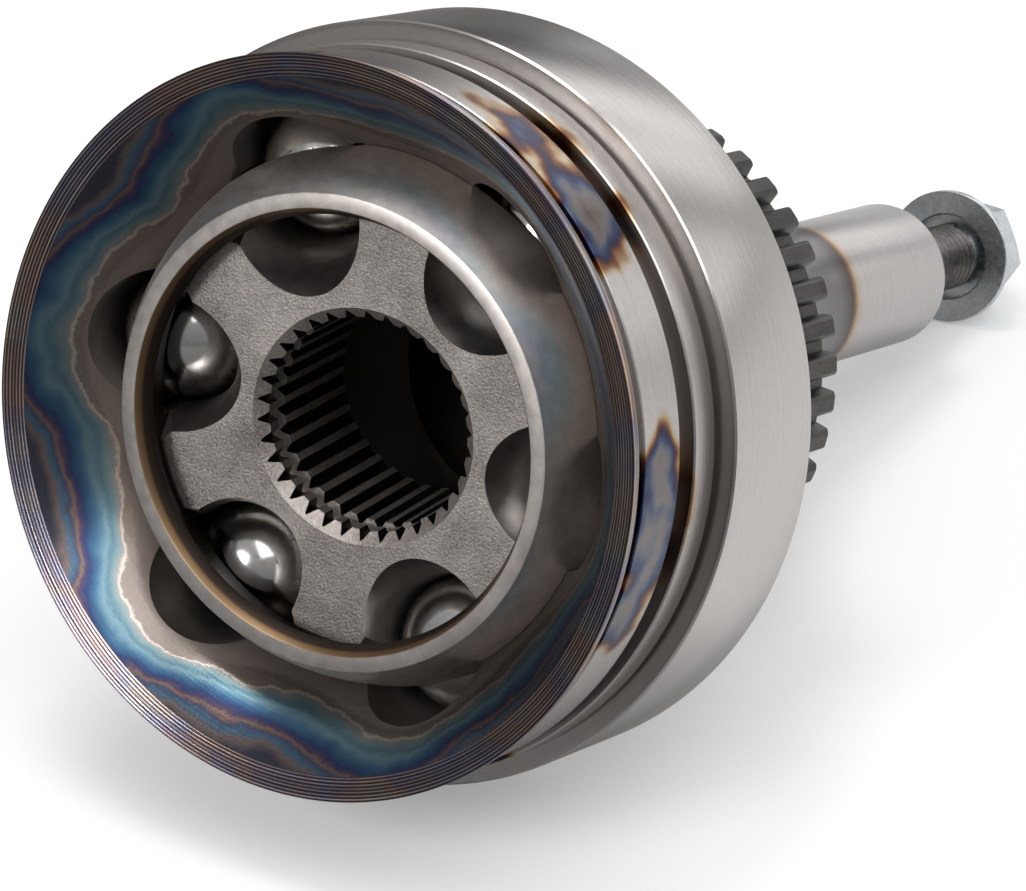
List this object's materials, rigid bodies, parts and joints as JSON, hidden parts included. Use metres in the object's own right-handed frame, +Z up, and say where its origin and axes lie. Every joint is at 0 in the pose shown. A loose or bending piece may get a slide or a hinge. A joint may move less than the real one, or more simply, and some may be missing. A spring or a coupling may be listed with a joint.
{
  "type": "constant velocity joint",
  "caption": "Ball-type constant velocity joint: splined inner race tilts inside a caged ring of balls in a bell with a stub shaft, toothed ring and hub bolt.",
  "frame": {"origin": "joint centre, where the bell's axis and the splined socket's axis cross", "axes": "the joint rests on its drum edge and its bolt flange with +Z up; the bell's axis lies in the YZ plane, mouth towards -Y and high, stub towards +Y and dipping 15.7 degrees; +X is to the right as seen from the mouth"},
  "size_m": [0.098, 0.1946, 0.103],
  "materials": {
    "forged_steel": "turned forging with heat tint at the rim, satin",
    "ring_steel": "hobbed dark steel",
    "cage_steel": "hardened and ground, satin",
    "race_steel": "hardened, matte sand grey",
    "ball_steel": "polished bearing steel",
    "zinc_plate": "pale blue-grey zinc plating"
  },
  "bodies": {
    "housing": {"outer_race": "forged_steel", "tone_ring": "ring_steel"},
    "inner": {"inner_race": "race_steel"},
    "cage": {"cage": "cage_steel"},
    "bolt": {"hub_bolt": "zinc_plate"},
    "ball_1": {"ball_1": "ball_steel"},
    "ball_2": {"ball_2": "ball_steel"},
    "ball_3": {"ball_3": "ball_steel"},
    "ball_4": {"ball_4": "ball_steel"},
    "ball_5": {"ball_5": "ball_steel"},
    "ball_6": {"ball_6": "ball_steel"}
  },
  "joints": [
    {"name": "race_tilt", "type": "hinge", "parent": "housing", "child": "inner", "pos_m": [0, 0, 0], "axis": [0.5577, 0.2243, 0.7991], "range_deg": [-54, 38]},
    {"name": "cage_tilt", "type": "hinge", "parent": "housing", "child": "cage", "pos_m": [0, 0, 0], "axis": [0.5577, 0.2243, 0.7991], "range_deg": [-27, 19]},
    {"name": "ball_1_path", "type": "hinge", "parent": "housing", "child": "ball_1", "pos_m": [0, -0.00265, 0.00074], "axis": [-0.898, -0.1189, -0.4236], "range_deg": [-16.73, 23.75]},
    {"name": "ball_2_path", "type": "hinge", "parent": "housing", "child": "ball_2", "pos_m": [0, -0.00265, 0.00074], "axis": [-0.068, -0.2696, -0.9606], "range_deg": [-16.73, 23.75]},
    {"name": "ball_3_roll", "type": "hinge", "parent": "housing", "child": "ball_3", "pos_m": [-0.01771, -0.00712, -0.02537], "axis": [0.5577, 0.2243, 0.7991], "range_deg": [-27, 19]},
    {"name": "ball_4_path", "type": "hinge", "parent": "housing", "child": "ball_4", "pos_m": [0, -0.00265, 0.00074], "axis": [0.898, 0.1189, 0.4236], "range_deg": [-23.74, 16.72]},
    {"name": "ball_5_path", "type": "hinge", "parent": "housing", "child": "ball_5", "pos_m": [0, -0.00265, 0.00074], "axis": [0.068, 0.2696, 0.9606], "range_deg": [-23.74, 16.72]},
    {"name": "ball_6_roll", "type": "hinge", "parent": "housing", "child": "ball_6", "pos_m": [0.01771, 0.00712, 0.02537], "axis": [0.5577, 0.2243, 0.7991], "range_deg": [-27, 19]},
    {"name": "bolt_screw", "type": "slide", "parent": "housing", "child": "bolt", "axis": [0, 0.9628, -0.2702], "range_m": [-0.0195, 0.02]}
  ],
  "couplings": [
    {"joint": "cage_tilt", "follows": "race_tilt", "ratio": 0.5},
    {"joint": "ball_1_path", "follows": "race_tilt", "ratio": -0.4388},
    {"joint": "ball_2_path", "follows": "race_tilt", "ratio": -0.4388},
    {"joint": "ball_3_roll", "follows": "race_tilt", "ratio": 0.5},
    {"joint": "ball_4_path", "follows": "race_tilt", "ratio": 0.4387},
    {"joint": "ball_5_path", "follows": "race_tilt", "ratio": 0.4387},
    {"joint": "ball_6_roll", "follows": "race_tilt", "ratio": 0.5}
  ]
}
